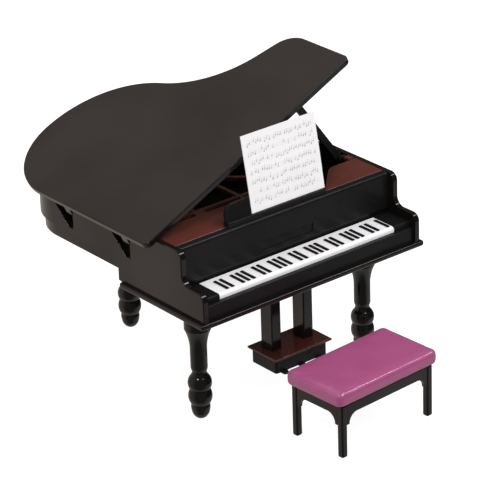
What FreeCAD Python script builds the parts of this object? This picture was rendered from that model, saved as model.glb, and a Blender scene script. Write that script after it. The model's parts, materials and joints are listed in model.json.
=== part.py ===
import FreeCAD, Part
import math
import os

V = FreeCAD.Vector

# A dolls' house grand piano with its bench and a sheet of music, in millimetres.
# The piano is drawn about its own middle plane: +X to the player's right, +Y from the keys to the
# tail, +Z up from the floor, y = 0 at the front of the key bed.  At the end the whole set is moved
# so that the bottom centre of its box is the origin.

# ---- driving dimensions ----
BED_HALF = 60.0            # half the width of the key bed moulding
BED_DEPTH = 55.6
BED_BOTTOM = 52.9
BED_TOP = 55.2
CASE_TOP = 82.3
CASE_FRONT = 1.0           # front of the key arms
ARM_TOP = 67.9
CHEEK_FRONT = 14.6         # front of the tall part of the cheeks
FRONT_BACK = 57.6          # back of the deep front section of the case
CASE_EDGE_R = 0.5
SIDE_ROUND_R, SIDE_HOLLOW_R = 3.5, 4.0          # curves of the cheeks' front outline
BED_CORNER_R, BED_EDGE_R = 1.0, 0.8
RIM_BOTTOM = 65.7
PAN_BOTTOM = 59.2
WALL = 2.5

# ---- outline of the lid, closed, as lines and tangent arcs ----
LID_HALF = 60.6
LID_FRONT = 29.0
WING_START = 58.3          # the right side leaves its straight line here
SHOULDER_R, SHOULDER_TURN = 10.9, 73.0
WING_RUN = 9.6
HOLLOW_R, HOLLOW_TURN = 48.0, 54.0
TAIL_R = 46.2
LID_THICK = 2.7
LID_GAP = 0.5              # closed lid above the case
FAR = 150.0                # beyond every piece, for tools that cut right through
LID_EDGE_R = 0.5
LID_CORNER_R = 3.0         # the two front corners

RIM_INSET = 2.3            # case wall inside the lid's edge
PAN_INSET = 4.1
PAN_WALL, PAN_RECESS = 1.6, 1.8                 # the pan's edge round its sunk underside
PANEL_SUNK = 0.3           # the panel in the recess stands in by this much
SEAM = 0.1                 # visible gap between two fitted pieces
FIT_GAP = 0.05             # radial gap of a pin that turns
END_ROOM = 0.4             # free depth past the end of a plug

# ---- lid hinge and prop ----
HINGE_X, HINGE_Z = -56.3, 74.8
LID_OPEN_DEG = 25.2
NOTCH_Y = (48.6, 88.2)     # front faces of the two hinge notches
NOTCH_FLOOR_Z = 67.8
NOTCH_FLOOR_LEN = 3.0
NOTCH_SLOPE = 1.14         # run of the ramp for each mm it rises
LUG_LEN = 4.0
LUG_GAP = 0.4
LUG_HALF = 1.9
PIN_R = 0.8
HINGE_BOSS_LEN, HINGE_BOSS_HALF = 5.0, 2.6
PIN_START, PIN_PROUD, PIN_EDGE_R = 1.0, 0.3, 0.3    # pin starts inside its boss and ends past the lug
HINGE_ROOM = (0.6, 2.4)    # deck cut back before and behind a hinge
PROP_X, PROP_Y, PROP_Z = 52.6, 46.8, 80.8
PROP_OPEN_DEG = 53.8       # prop above level when the lid is up
PROP_WIDE, PROP_THICK = 3.1, 2.1
PROP_PIN_R = 0.5
PROP_SIDE_GAP = 0.15
PROP_PIN_PROUD = 0.2
EAR_THICK, EAR_R, EAR_DROP = 1.0, 1.2, 5.0
EAR_BACK, EAR_BACK_DROP = 0.5, 0.6              # plate that joins the ears, and its top below the prop
TAB_BACK, TAB_GROOVE = 43.4, 0.6                # tab of the deck beside the prop
SHOULDER_OPEN_X, SHOULDER_OPEN_Y = 28.0, 76.0   # no flange right of and ahead of this point
CUP_WIDE, CUP_FLOOR, CUP_EDGE_R = 4.8, 0.9, 0.4     # the floor is below the middle of the prop's tip
CUP_LIP = (-0.2, 1.0)      # the seat's open side, from the middle of the tip
CUP_FOOT = (3.4, 4.6)      # start and end of the floor, from the middle of the tip
CUP_ROOT = (-3.6, 6.4)     # start and end of the face against the lid
SOCKET_DROP = 3.7          # the prop's cup stands this far below the lid

# ---- deck and harp frame ----
DECK_FRONT, DECK_BACK = 21.5, 38.6
HARP_TOP, HARP_THICK = 82.2, 1.5
FLANGE = 3.0
BAR = 1.8
BAY_LEFT, BAY_FRONT, BAY_RUN = 9.0, 23.0, 16.0     # bay in the back of the deck, behind the music desk
BAY_CORNER_R = 8.0         # where the bay's slanting right side meets the deck's back edge
CROSS_Y = 42.3             # bar across behind the deck
BRACE_Y = 55.8             # bar behind the bay
HARP_BARS = (((-LID_HALF, CROSS_Y), (BAY_LEFT, CROSS_Y)),
             ((BAY_LEFT - 1.0, DECK_BACK - 1.0), (BAY_LEFT - 1.0, CROSS_Y)),
             ((-51.8, CROSS_Y), (-51.8, FAR)),
             ((-29.0, DECK_BACK - 1.0), (-29.0, FAR)),
             ((-5.4, DECK_BACK - 1.0), (-5.4, FAR)),
             ((24.0, BRACE_Y - 0.5 * BAR), (24.0, FAR)),
             ((-5.4, 69.0), (BAY_LEFT, BRACE_Y)),
             ((BAY_LEFT - 1.0, BRACE_Y), (24.0, BRACE_Y)))
BRIDGE = (-31.0, -25.8)    # wide tie between the deck and the bar behind it
HARP_POSTS = ((-29.0, 64.0), (24.0, 64.0), (-29.0, 104.0), (-5.4, 116.0))
POST_R = 2.3
DECK_EDGE_R = 0.6

# ---- keyboard ----
KEYS_HALF = 47.0
KEYS_FRONT, KEYS_BACK = 4.6, 18.0
SLIP_LAP = 0.4             # how far the white slab stands out over the slip
KEYS_BOTTOM, KEYS_TOP = 61.6, 63.9
KEY_PITCH = 2.8
BLACK_AFTER = (2, 3, 5, 6, 7, 9, 10, 12, 13, 14, 16, 17, 19, 20, 21, 23, 24, 26, 27, 28, 30, 31, 33)
BLACK_WIDE, BLACK_TALL, BLACK_EDGE_R = 1.35, 0.5, 0.2
BLACK_FRONT, BLACK_BACK = 6.2, 15.0
KEY_NOSE_R = 1.3           # rounded front edge of the white keys
BLOCK_TOP, BLOCK_EDGE_R = 64.0, 0.7             # key blocks, level with the white keys
SLIP_FRONT, SLIP_EDGE_R = 2.4, 0.5
FALL_BOTTOM, FALL_THICK = 65.6, 2.2
FALL_ROLL_R = 1.5          # rolled top edge in front of the deck
FALL_FOOT_R, FALL_BACK_R, FALL_REBATE = 0.6, 0.4, 1.0
FALL_PANEL = (13.9, 67.7, 72.0, 0.5)            # sunk panel: half width, bottom, top, depth

# ---- music desk and sheet ----
DESK_LEFT, DESK_RIGHT = -29.2, 22.6
DESK_FRONT, DESK_TOP = 19.6, 92.4
DESK_SHOULDER, DESK_SHOULDER_R, DESK_TOP_R = 1.2, 4.4, 40.0
DESK_THICK, DESK_EDGE_R, DESK_FOOT = 1.4, 0.4, 0.4
LEDGE_DEEP, LEDGE_TALL = 3.6, 2.1
LEDGE_EDGE_R = 0.5
PANEL_BEHIND = 1.6         # desk panel behind the front of the ledge
DESK_LEAN_DEG = 10.0
SHEET_LEFT, SHEET_WIDE, SHEET_TALL = -16.1, 39.0, 32.8
SHEET_THICK = 0.4
CREASE_DEG = 1.5

# ---- legs and lyre ----
FRONT_LEG_X, FRONT_LEG_Y = 44.8, 23.1
REAR_LEG_X, REAR_LEG_Y = -15.4, 110.4
LEG_SHAFT_R, LEG_CAP_R = 3.6, 5.7
FOOT_FLAT_R = 1.9
SPIGOT_R, SPIGOT_LEN = 2.0, 5.0
LYRE_X, LYRE_WIDE = 8.7, 5.1
LYRE_FRONT, LYRE_BACK, LYRE_EDGE_R = 16.3, 23.7, 0.5
PEDAL_PLATE = (15.3, 9.1, 27.8, 20.0, 20.9)     # half width, front, back, bottom, top
PEDAL_BOX = (13.9, 10.8, 26.9, 13.4)            # half width, front, back, bottom
PLATE_EDGE_R, BOX_CORNER_R, PEDAL_TIP_R = 0.25, 1.0, 1.0
PEDAL_X = (-9.6, 0.0, 9.6)
PEDAL_HALF, PEDAL_THICK, PEDAL_OUT = 1.3, 1.0, 2.0
PEDAL_IN, PEDAL_BELOW = 4.0, 0.6    # length let into the box, and how far it hangs below the box
PEDAL_ROOM = 0.2           # gap in the box above a pedal
TENON_HALF_X, TENON_HALF_Y, TENON_LEN = 1.4, 2.0, 1.6

# ---- bench ----
BENCH_X, BENCH_Y, BENCH_TURN_DEG = 0.0, -27.7, 3.4
BENCH_HALF_X, BENCH_HALF_Y = 26.1, 14.8
BENCH_LEG = 3.1
BENCH_TOP = 23.2
RAIL_THICK, RAIL_SETBACK = 1.6, 0.3
RAIL_EDGE, BRACKET_TIP = 18.9, 14.4             # straight edge and bracket ends, heights
BRACKET_STEP, BRACKET_RISER, BRACKET_RUN = 1.4, 0.8, 5.0
CUSHION_HALF_X, CUSHION_HALF_Y, CUSHION_TOP = 28.4, 16.1, 30.3
CUSHION_CORNER_R, CUSHION_TOP_R, CUSHION_LOW_R = 3.0, 2.0, 1.2
LEG_END_R = 0.8            # on a bench leg's foot and long edges
BOARD_THICK, BOARD_INSET = 0.9, 0.5

# ---- screws ----
SCREW_R, SCREW_HEAD_R, SCREW_LEN, SCREW_HEAD = 1.0, 2.0, 6.0, 1.2
HEAD_GAP, SHANK_GAP = 0.2, 0.15
HEAD_SUNK, HEAD_EDGE_R = 0.3, 0.4
TIP_ROOM = 0.5             # hole left ahead of a screw's tip
SLOT_HALF, SLOT_DEEP, SLOT_REACH = 0.2, 0.6, 1.2    # arms of the cross slot
FRONT_SCREWS = ((-30.0, 42.0), (30.0, 42.0))


# ---------------------------------------------------------------- helpers

def box(x0, x1, y0, y1, z0, z1):
    return Part.makeBox(x1 - x0, y1 - y0, z1 - z0, V(x0, y0, z0))


def cylinder(x, y, z, radius, length, axis=V(0, 0, 1)):
    return Part.makeCylinder(radius, length, V(x, y, z), axis)


def fuse_all(shapes):
    whole = shapes[0].multiFuse(shapes[1:])
    return whole.removeSplitter()


def cut_all(shape, tools):
    return shape.cut(Part.makeCompound(tools)).removeSplitter()


def prism(edges, direction):
    return Part.Face(Part.Wire(Part.__sortEdges__(edges))).extrude(direction)


def tangent_path(start, heading_deg, moves):
    """Edges of a run of lines and arcs, each leaving along the last one's heading.
    A move is (length,) for a line, or (radius, turn in degrees); a positive turn is to the left."""
    edges = []
    here = V(*start)
    heading = math.radians(heading_deg)
    for move in moves:
        if len(move) == 1:
            there = here + V(math.cos(heading), math.sin(heading), 0) * move[0]
            edges.append(Part.makeLine(here, there))
        else:
            radius, turn = move[0], math.radians(move[1])
            side = math.copysign(1.0, turn)
            centre = here + V(-math.sin(heading), math.cos(heading), 0) * (side * radius)
            points = []
            for part in (0.5, 1.0):
                angle = heading + turn * part
                points.append(centre + V(math.sin(angle), -math.cos(angle), 0) * (side * radius))
            edges.append(Part.Arc(here, points[0], points[1]).toShape())
            there = points[1]
            heading += turn
        here = there
    return edges, here


def wing_outline(inset, front, z):
    """The grand's outline seen from above, moved in by inset, closed by a straight front."""
    last_turn = 90.0 - SHOULDER_TURN + HOLLOW_TURN
    moves = [(WING_START - front,),
             (SHOULDER_R - inset, SHOULDER_TURN),
             (WING_RUN,),
             (HOLLOW_R + inset, -HOLLOW_TURN),
             (TAIL_R - inset, last_turn)]
    edges, end = tangent_path((LID_HALF - inset, front, z), 90.0, moves)
    corner_r = end.x + LID_HALF - inset
    corner, end = tangent_path((end.x, end.y, z), 180.0, [(corner_r, 90.0)])
    left = V(inset - LID_HALF, front, z)
    right = V(LID_HALF - inset, front, z)
    return edges + corner + [Part.makeLine(end, left), Part.makeLine(left, right)]


def wing_prism(inset, front, z0, z1):
    """Prism of the outline; its straight front may lie ahead of or behind the start of the curve."""
    body = prism(wing_outline(inset, min(front, LID_FRONT), z0), V(0, 0, z1 - z0))
    if front <= LID_FRONT:
        return body
    return body.cut(box(-LID_HALF, LID_HALF, LID_FRONT - 1.0, front, z0 - 1.0, z1 + 1.0))


def profile_along_x(points_and_arcs, x0, x1):
    """Extrude a closed (y, z) outline along X.  Each item is a corner, or (corner, radius)."""
    corners = [item[0] if isinstance(item[0], tuple) else item for item in points_and_arcs]
    radii = [item[1] if isinstance(item[0], tuple) else 0.0 for item in points_and_arcs]
    points = [V(x0, y, z) for y, z in corners]
    edges = rounded_polygon(points, radii)
    return prism(edges, V(x1 - x0, 0, 0))


def rounded_polygon(points, radii):
    """Edges of a closed polygon with each corner rounded by its own radius (0 leaves it sharp)."""
    starts, ends, arcs = [], [], []
    count = len(points)
    for i in range(count):
        here = points[i]
        back = (points[i - 1] - here).normalize()
        ahead = (points[(i + 1) % count] - here).normalize()
        if radii[i] == 0:
            starts.append(here)
            ends.append(here)
            continue
        half_angle = 0.5 * back.getAngle(ahead)
        reach = radii[i] / math.tan(half_angle)
        middle = (back + ahead).normalize()
        dip = radii[i] / math.sin(half_angle) - radii[i]
        starts.append(here + back * reach)
        ends.append(here + ahead * reach)
        arcs.append(Part.Arc(starts[i], here + middle * dip, ends[i]).toShape())
    lines = []
    for i in range(count):
        a, b = ends[i], starts[(i + 1) % count]
        if (b - a).Length > 1e-6:
            lines.append(Part.makeLine(a, b))
    return lines + arcs


def straight_edges(shape, wanted):
    return [edge for edge in shape.Edges if wanted(edge)]


def at_height(edge, z):
    return all(abs(vertex.Z - z) < 1e-3 for vertex in edge.Vertexes)


def turned(profile):
    """Solid of revolution about Z.  A profile step is the next (r, z) point of a line, or the
    middle and end points of an arc as four numbers."""
    edges = []
    here = profile[0]
    for step in profile[1:]:
        if len(step) == 4:
            middle, there = step[:2], step[2:]
            arc = Part.Arc(V(here[0], 0, here[1]), V(middle[0], 0, middle[1]), V(there[0], 0, there[1]))
            edges.append(arc.toShape())
        else:
            there = step
            edges.append(Part.makeLine(V(here[0], 0, here[1]), V(there[0], 0, there[1])))
        here = there
    edges.append(Part.makeLine(V(here[0], 0, here[1]), V(profile[0][0], 0, profile[0][1])))
    return Part.Face(Part.Wire(edges)).revolve(V(0, 0, 0), V(0, 0, 1), 360)


def moved(shape, x, y, z=0.0):
    copy = shape.copy()
    copy.translate(V(x, y, z))
    return copy


# ---------------------------------------------------------------- case

def hinge_notch(y):
    """Three-cornered opening through the spine wall: upright in front, ramped behind."""
    top = CASE_TOP + 1.0
    ramp = (top - NOTCH_FLOOR_Z) * NOTCH_SLOPE
    corners = [(y, NOTCH_FLOOR_Z), (y + NOTCH_FLOOR_LEN, NOTCH_FLOOR_Z),
               (y + NOTCH_FLOOR_LEN + ramp, top), (y, top)]
    return profile_along_x(corners, -LID_HALF, -LID_HALF + RIM_INSET + WALL + 3.0)


def hinge_boss(y):
    """Block behind the notch's upright face that holds the hinge pin."""
    return box(-LID_HALF + RIM_INSET + 1.0, HINGE_X + HINGE_BOSS_HALF, y - HINGE_BOSS_LEN, y,
               HINGE_Z - HINGE_BOSS_HALF, HINGE_Z + HINGE_BOSS_HALF)


def case_body():
    outer = wing_prism(RIM_INSET, CASE_FRONT, BED_TOP, CASE_TOP)
    inner = wing_prism(RIM_INSET + WALL, CASE_FRONT - 5.0, BED_TOP - 5.0, CASE_TOP + 5.0)
    shell = outer.cut(inner)
    under_rim = box(-LID_HALF, LID_HALF, FRONT_BACK, FAR, BED_TOP - 1.0, RIM_BOTTOM)
    shell = shell.cut(under_rim)
    side = profile_along_x([(CASE_FRONT, BED_TOP),
                            ((CASE_FRONT, ARM_TOP), SIDE_ROUND_R),
                            ((CHEEK_FRONT, ARM_TOP), SIDE_HOLLOW_R),
                            ((CHEEK_FRONT, CASE_TOP), SIDE_ROUND_R),
                            (FAR, CASE_TOP),
                            (FAR, BED_TOP)], -LID_HALF, LID_HALF)
    shell = shell.common(side)
    half = LID_HALF - RIM_INSET
    top_edges = straight_edges(shell, lambda e: at_height(e, CASE_TOP) and e.Length > 3.0
                               and outer_edge(e, half))
    shell = shell.makeFillet(CASE_EDGE_R, top_edges)
    bosses = [hinge_boss(y) for y in NOTCH_Y]
    shell = fuse_all([shell] + bosses)
    holes = []
    for y in NOTCH_Y:
        holes.append(hinge_notch(y))
        holes.append(cylinder(HINGE_X, y - HINGE_BOSS_LEN + 1.0, HINGE_Z, PIN_R, HINGE_BOSS_LEN, V(0, 1, 0)))
    return cut_all(shell, holes)


def outer_edge(edge, half):
    """True for an edge of the case's outer outline rather than of its inside."""
    middle = edge.valueAt(0.5 * (edge.FirstParameter + edge.LastParameter))
    probe = wing_prism(RIM_INSET + 0.5 * WALL, CASE_FRONT - 5.0, middle.z - 1.0, middle.z + 1.0)
    return not probe.isInside(middle, 1e-4, True)


def key_bed():
    plate = box(-BED_HALF, BED_HALF, 0.0, BED_DEPTH, BED_BOTTOM, BED_TOP)
    uprights = straight_edges(plate, lambda e: abs(e.Vertexes[0].Z - e.Vertexes[1].Z) > 1.0)
    plate = plate.makeFillet(BED_CORNER_R, uprights)
    rims = straight_edges(plate, lambda e: at_height(e, BED_TOP) or at_height(e, BED_BOTTOM))
    plate = plate.makeFillet(BED_EDGE_R, rims)
    holes = [cylinder(x, FRONT_LEG_Y, BED_BOTTOM - 1, SPIGOT_R + FIT_GAP, 5.0)
             for x in (-FRONT_LEG_X, FRONT_LEG_X)]
    for x, y in FRONT_SCREWS:
        holes.append(cylinder(x, y, BED_BOTTOM - 1, SCREW_HEAD_R + HEAD_GAP, 1.0 + SCREW_HEAD))
        holes.append(cylinder(x, y, BED_BOTTOM, SCREW_R + SHANK_GAP, SCREW_LEN))
    for x in (-LYRE_X, LYRE_X):
        holes.append(lyre_tenon(x, FIT_GAP))
    return cut_all(plate, holes)


def key_frame():
    """Block on the key bed that carries the keyboard and closes the back of the front section."""
    half = LID_HALF - RIM_INSET - WALL
    block = box(-half, half, KEYS_FRONT + SLIP_LAP, FRONT_BACK, BED_TOP, KEYS_BOTTOM)
    holes = [cylinder(x, FRONT_LEG_Y, BED_TOP - 1, SPIGOT_R + FIT_GAP, SPIGOT_LEN)
             for x in (-FRONT_LEG_X, FRONT_LEG_X)]
    for x, y in FRONT_SCREWS:
        holes.append(cylinder(x, y, BED_TOP - 1, SCREW_R, SCREW_LEN))
    return cut_all(block, holes)


def bottom_pan():
    """Floor of the rear case, standing in a little from the rim, open below for the panel."""
    pan = wing_prism(PAN_INSET, FRONT_BACK, PAN_BOTTOM, RIM_BOTTOM)
    recess_top = PAN_BOTTOM + PAN_RECESS
    holes = [wing_prism(PAN_INSET + PAN_WALL, FRONT_BACK + PAN_WALL, PAN_BOTTOM - 1.0, recess_top)]
    holes.append(cylinder(REAR_LEG_X, REAR_LEG_Y, PAN_BOTTOM, SPIGOT_R + FIT_GAP, SPIGOT_LEN + END_ROOM))
    for x, y in HARP_POSTS:
        holes.append(cylinder(x, y, PAN_BOTTOM, SCREW_HEAD_R + HEAD_GAP, PAN_RECESS + SCREW_HEAD + HEAD_SUNK))
        holes.append(cylinder(x, y, PAN_BOTTOM, SCREW_R + SHANK_GAP, RIM_BOTTOM - PAN_BOTTOM + 1.0))
    return cut_all(pan, holes)


def soundboard():
    """Brown panel let into the underside of the pan."""
    gap = PAN_WALL + SEAM
    panel = wing_prism(PAN_INSET + gap, FRONT_BACK + gap, PAN_BOTTOM + PANEL_SUNK, PAN_BOTTOM + PAN_RECESS)
    return panel.cut(cylinder(REAR_LEG_X, REAR_LEG_Y, PAN_BOTTOM, SPIGOT_R + FIT_GAP, SPIGOT_LEN))


def case_screws():
    screws = []
    for x, y in HARP_POSTS:
        screws.append(screw(x, y, PAN_BOTTOM + PAN_RECESS + HEAD_SUNK))
    for x, y in FRONT_SCREWS:
        screws.append(screw(x, y, BED_BOTTOM))
    return Part.makeCompound(screws)


def screw(x, y, z):
    """Pan-head screw driven upwards, its head's lower face at z."""
    head = cylinder(x, y, z, SCREW_HEAD_R, SCREW_HEAD)
    head = head.makeFillet(HEAD_EDGE_R, straight_edges(head, lambda e: at_height(e, z) and e.Closed))
    shank = cylinder(x, y, z + SCREW_HEAD, SCREW_R, SCREW_LEN - TIP_ROOM)
    reach, half = SLOT_REACH, SLOT_HALF
    cross = [box(x - reach, x + reach, y - half, y + half, z - 0.1, z + SLOT_DEEP),
             box(x - half, x + half, y - reach, y + reach, z - 0.1, z + SLOT_DEEP)]
    return cut_all(head.fuse(shank), cross)


# ---------------------------------------------------------------- harp, deck and keys

def harp_plate():
    """Deck behind the keys and the open iron-frame pattern, in one piece with its four posts."""
    inset = RIM_INSET + WALL + SEAM
    low = HARP_TOP - HARP_THICK
    whole = wing_prism(inset, DECK_FRONT, low, HARP_TOP)
    opening = wing_prism(inset + FLANGE, DECK_BACK, low - 1, HARP_TOP + 1)
    bars = [harp_bar(start, end) for start, end in HARP_BARS]
    bars.append(box(BRIDGE[0], BRIDGE[1], DECK_BACK - 1.0, CROSS_Y, low, HARP_TOP))
    lattice = Part.makeCompound(bars).common(whole)
    plate = whole.cut(opening).cut(deck_bay())
    front = straight_edges(plate, lambda e: at_height(e, HARP_TOP) and e.BoundBox.YMax < DECK_FRONT + 0.01)
    plate = plate.makeFillet(DECK_EDGE_R, front)
    posts = [cylinder(x, y, RIM_BOTTOM, POST_R, HARP_TOP - RIM_BOTTOM) for x, y in HARP_POSTS]
    plate = fuse_all([plate] + lattice.Solids + posts)
    edge = LID_HALF - inset
    before, behind = HINGE_ROOM
    holes = [box(-edge - 1, -edge + FLANGE, y - HINGE_BOSS_LEN - before, y + LUG_LEN + behind,
                 low - 1, HARP_TOP + 1) for y in NOTCH_Y]
    holes.append(box(edge - FLANGE, edge + 1, DECK_BACK, DECK_BACK + TAB_GROOVE,
                     HARP_TOP - TAB_GROOVE, HARP_TOP + 1))
    holes.append(box(SHOULDER_OPEN_X, edge + 1, TAB_BACK, SHOULDER_OPEN_Y, low - 1, HARP_TOP + 1))
    holes += [cylinder(x, y, RIM_BOTTOM - 1, SCREW_R, SCREW_LEN + 2.0) for x, y in HARP_POSTS]
    return cut_all(plate, holes)


def harp_bar(start, end):
    """Straight bar of the harp between two points seen from above."""
    run = V(end[0] - start[0], end[1] - start[1], 0)
    bar = box(0.0, run.Length, -0.5 * BAR, 0.5 * BAR, HARP_TOP - HARP_THICK, HARP_TOP)
    bar.rotate(V(0, 0, 0), V(0, 0, 1), math.degrees(math.atan2(run.y, run.x)))
    return moved(bar, start[0], start[1])


def deck_bay():
    """Bay cut forward from the deck's back edge, its right side slanting at 45 degrees."""
    low = HARP_TOP - HARP_THICK - 1.0
    depth = DECK_BACK - BAY_FRONT
    right = BAY_LEFT + BAY_RUN + depth
    slant = Part.Face(Part.makePolygon([V(BAY_LEFT, BAY_FRONT, low), V(BAY_LEFT + BAY_RUN, BAY_FRONT, low),
                                        V(right, DECK_BACK, low), V(BAY_LEFT, DECK_BACK, low),
                                        V(BAY_LEFT, BAY_FRONT, low)]))
    bay = slant.extrude(V(0, 0, HARP_THICK + 2.0))
    reach = BAY_CORNER_R * math.tan(math.radians(22.5))
    start = V(right - reach * math.sqrt(0.5), DECK_BACK - reach * math.sqrt(0.5), low)
    end = V(right + reach, DECK_BACK, low)
    centre = V(right + reach, DECK_BACK - BAY_CORNER_R, low)
    middle = centre + (V(right, DECK_BACK, low) - centre).normalize() * BAY_CORNER_R
    corner = [Part.Arc(start, middle, end).toShape(), Part.makeLine(end, V(right, DECK_BACK, low)),
              Part.makeLine(V(right, DECK_BACK, low), start)]
    return bay.fuse(prism(corner, V(0, 0, HARP_THICK + 2.0)))


def fallboard():
    """Upright board behind the keys with a rolled top edge and a sunk panel at its foot."""
    half = LID_HALF - RIM_INSET - WALL - SEAM
    front, back = KEYS_BACK, KEYS_BACK + FALL_THICK
    board = profile_along_x([((front, FALL_BOTTOM), FALL_FOOT_R),
                             ((front, HARP_TOP), FALL_ROLL_R),
                             ((DECK_FRONT - SEAM, HARP_TOP), FALL_BACK_R),
                             (DECK_FRONT - SEAM, HARP_TOP - HARP_THICK - 1.0),
                             (back, HARP_TOP - HARP_THICK - 1.0),
                             (back, KEYS_BOTTOM),
                             (front + FALL_REBATE, KEYS_BOTTOM),
                             (front + FALL_REBATE, FALL_BOTTOM)], -half, half)
    panel_half, low, top, depth = FALL_PANEL
    return cut_all(board, [box(-panel_half, panel_half, front - 1.0, front + depth, low, top)])


def key_slip():
    """Rail across the front below the keys."""
    half = LID_HALF - RIM_INSET - WALL - SEAM
    back = KEYS_FRONT + SLIP_LAP
    return profile_along_x([(SLIP_FRONT, BED_TOP), ((SLIP_FRONT, KEYS_BOTTOM), SLIP_EDGE_R),
                            (back, KEYS_BOTTOM), (back, BED_TOP)], -half, half)


def key_block(side):
    """Block that fills the end of the keyboard, level with the white keys."""
    outer = LID_HALF - RIM_INSET - WALL - SEAM
    inner = KEYS_HALF + SEAM
    block = profile_along_x([(KEYS_FRONT, KEYS_BOTTOM), ((KEYS_FRONT, BLOCK_TOP), BLOCK_EDGE_R),
                             (KEYS_BACK, BLOCK_TOP), (KEYS_BACK, KEYS_BOTTOM)], inner, outer)
    return block if side > 0 else block.mirror(V(0, 0, 0), V(1, 0, 0))


def keyboard_block():
    """All the white keys as one slab."""
    slab = box(-KEYS_HALF, KEYS_HALF, KEYS_FRONT, KEYS_BACK, KEYS_BOTTOM, KEYS_TOP)
    front = straight_edges(slab, lambda e: e.Length > 50 and e.BoundBox.YMax < KEYS_FRONT + 0.01
                           and at_height(e, KEYS_TOP))
    return slab.makeFillet(KEY_NOSE_R, front)


def black_keys():
    """Thin strips on the seams between white keys, in groups of two and three."""
    keys = []
    for boundary in BLACK_AFTER:
        x = -KEYS_HALF + boundary * KEY_PITCH
        key = box(x - 0.5 * BLACK_WIDE, x + 0.5 * BLACK_WIDE, BLACK_FRONT, BLACK_BACK,
                  KEYS_TOP, KEYS_TOP + BLACK_TALL)
        tops = straight_edges(key, lambda e: at_height(e, KEYS_TOP + BLACK_TALL))
        keys.append(key.makeFillet(BLACK_EDGE_R, tops))
    return Part.makeCompound(keys)


# ---------------------------------------------------------------- lid, hinges and prop

def opened(shape):
    """Turn a piece drawn with the lid closed to where it is with the lid up."""
    copy = shape.copy()
    copy.rotate(V(HINGE_X, 0, HINGE_Z), V(0, -1, 0), LID_OPEN_DEG)
    return copy


def lid():
    low = CASE_TOP + LID_GAP
    panel = wing_prism(0.0, LID_FRONT, low, low + LID_THICK)
    uprights = straight_edges(panel, lambda e: abs(e.Vertexes[0].Z - e.Vertexes[-1].Z) > 1.0
                              and e.BoundBox.YMax < LID_FRONT + 0.01)
    panel = panel.makeFillet(LID_CORNER_R, uprights)
    rims = straight_edges(panel, lambda e: at_height(e, low) or at_height(e, low + LID_THICK))
    return opened(panel.makeFillet(LID_EDGE_R, rims))


def hinge_lugs():
    """The two arms under the lid's spine edge that turn on the hinge pins."""
    top = CASE_TOP + LID_GAP
    lugs = []
    for y in NOTCH_Y:
        y0 = y + LUG_GAP
        arm = box(HINGE_X - LUG_HALF, HINGE_X + LUG_HALF, y0, y0 + LUG_LEN, HINGE_Z, top)
        eye = cylinder(HINGE_X, y0, HINGE_Z, LUG_HALF, LUG_LEN, V(0, 1, 0))
        hole = cylinder(HINGE_X, y0 - 1, HINGE_Z, PIN_R + FIT_GAP, LUG_LEN + 2, V(0, 1, 0))
        lugs.append(opened(cut_all(fuse_all([arm, eye]), [hole])))
    return Part.makeCompound(lugs)


def hinge_pins():
    length = HINGE_BOSS_LEN - PIN_START + LUG_GAP + LUG_LEN + PIN_PROUD
    pins = []
    for y in NOTCH_Y:
        pin = cylinder(HINGE_X, y - HINGE_BOSS_LEN + PIN_START, HINGE_Z, PIN_R, length, V(0, 1, 0))
        ends = straight_edges(pin, lambda e: e.Closed and e.BoundBox.YMin > y)
        pins.append(pin.makeFillet(PIN_EDGE_R, ends))
    return Part.makeCompound(pins)


def prop_direction():
    angle = math.radians(PROP_OPEN_DEG)
    return V(-math.cos(angle), 0, math.sin(angle))


def prop_length():
    """Distance from the prop's pin to the middle of its round tip, which bears on the cup."""
    tilt = math.radians(LID_OPEN_DEG)
    normal = V(-math.sin(tilt), 0, math.cos(tilt))
    foot = V(PROP_X - HINGE_X, 0, PROP_Z - HINGE_Z)
    under_lid = CASE_TOP + LID_GAP - HINGE_Z - SOCKET_DROP
    reach = under_lid - 0.5 * PROP_WIDE - FIT_GAP - foot.dot(normal)
    return reach / prop_direction().dot(normal)


def lid_prop():
    length = prop_length()
    half = 0.5 * PROP_WIDE
    y0 = PROP_Y - 0.5 * PROP_THICK
    bar = box(PROP_X, PROP_X + length, y0, y0 + PROP_THICK, PROP_Z - half, PROP_Z + half)
    ends = [cylinder(x, y0, PROP_Z, half, PROP_THICK, V(0, 1, 0)) for x in (PROP_X, PROP_X + length)]
    prop = fuse_all([bar] + ends)
    hole = cylinder(PROP_X, y0 - 1, PROP_Z, PROP_PIN_R + FIT_GAP, PROP_THICK + 2, V(0, 1, 0))
    prop = cut_all(prop, [hole])
    prop.rotate(V(PROP_X, 0, PROP_Z), V(0, -1, 0), 180.0 - PROP_OPEN_DEG)
    return prop


def prop_bracket():
    """Two ears on the inside of the right rim, either side of the prop's foot."""
    wall = LID_HALF - RIM_INSET - WALL
    inner_gap = 0.5 * PROP_THICK + PROP_SIDE_GAP
    low = PROP_Z - EAR_DROP
    ears = []
    for y0 in (PROP_Y - inner_gap - EAR_THICK, PROP_Y + inner_gap):
        ears.append(box(PROP_X, wall, y0, y0 + EAR_THICK, low, PROP_Z + EAR_R))
        ears.append(cylinder(PROP_X, y0, PROP_Z, EAR_R, EAR_THICK, V(0, 1, 0)))
        ears.append(box(PROP_X - EAR_R, wall, y0, y0 + EAR_THICK, low, PROP_Z))
    outer_gap = inner_gap + EAR_THICK
    back_top = PROP_Z - 0.5 * PROP_WIDE - EAR_BACK_DROP
    back = box(wall - EAR_BACK, wall, PROP_Y - outer_gap, PROP_Y + outer_gap, low, back_top)
    hole = cylinder(PROP_X, PROP_Y - outer_gap - 1.0, PROP_Z, PROP_PIN_R, 2 * outer_gap + 2.0, V(0, 1, 0))
    return cut_all(fuse_all(ears + [back]), [hole])


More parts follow.
